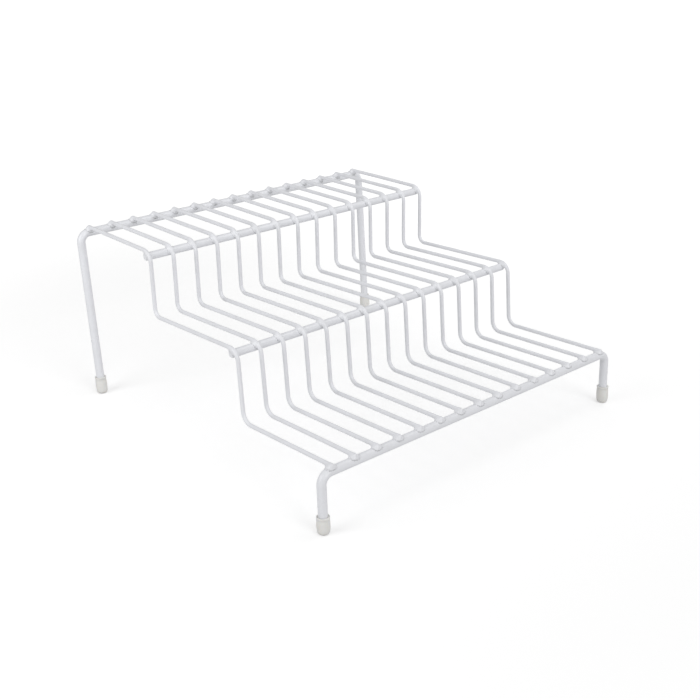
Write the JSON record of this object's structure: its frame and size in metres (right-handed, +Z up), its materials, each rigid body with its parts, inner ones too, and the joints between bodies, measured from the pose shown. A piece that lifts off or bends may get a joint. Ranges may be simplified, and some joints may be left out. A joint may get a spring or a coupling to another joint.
{
  "type": "tiered shelf riser",
  "caption": "Low wire stand with stair-stepped shelves that raises jars and tins towards the back of a cupboard shelf.",
  "frame": {"origin": "middle of the footprint, on the surface that the four feet stand on", "axes": "+Z up, +Y towards the back (the tallest side), +X to the right seen from the front; the step wires run along Y and the rails and rods along X"},
  "size_m": [0.2906, 0.293, 0.1357],
  "materials": {
    "coated_frame_wire": "soft gloss white plastic coating over steel wire",
    "coated_rod": "soft gloss white plastic coating over steel rod",
    "coated_step_wire": "soft gloss white plastic coating over thin steel wire",
    "vinyl_cap": "slightly clouded off-white vinyl with a faint cream cast"
  },
  "bodies": {
    "root": {"back_frame": "coated_frame_wire", "front_frame": "coated_frame_wire", "middle_cross_rod": "coated_rod", "upper_cross_rod": "coated_rod", "step_wire_01": "coated_step_wire", "step_wire_02": "coated_step_wire", "step_wire_03": "coated_step_wire", "step_wire_04": "coated_step_wire", "step_wire_05": "coated_step_wire", "step_wire_06": "coated_step_wire", "step_wire_07": "coated_step_wire", "step_wire_08": "coated_step_wire", "step_wire_09": "coated_step_wire", "step_wire_10": "coated_step_wire", "step_wire_11": "coated_step_wire", "step_wire_12": "coated_step_wire", "step_wire_13": "coated_step_wire", "step_wire_14": "coated_step_wire", "step_wire_15": "coated_step_wire", "foot_cap_back_left": "vinyl_cap", "foot_cap_back_right": "vinyl_cap", "foot_cap_front_left": "vinyl_cap", "foot_cap_front_right": "vinyl_cap"}
  },
  "joints": []
}
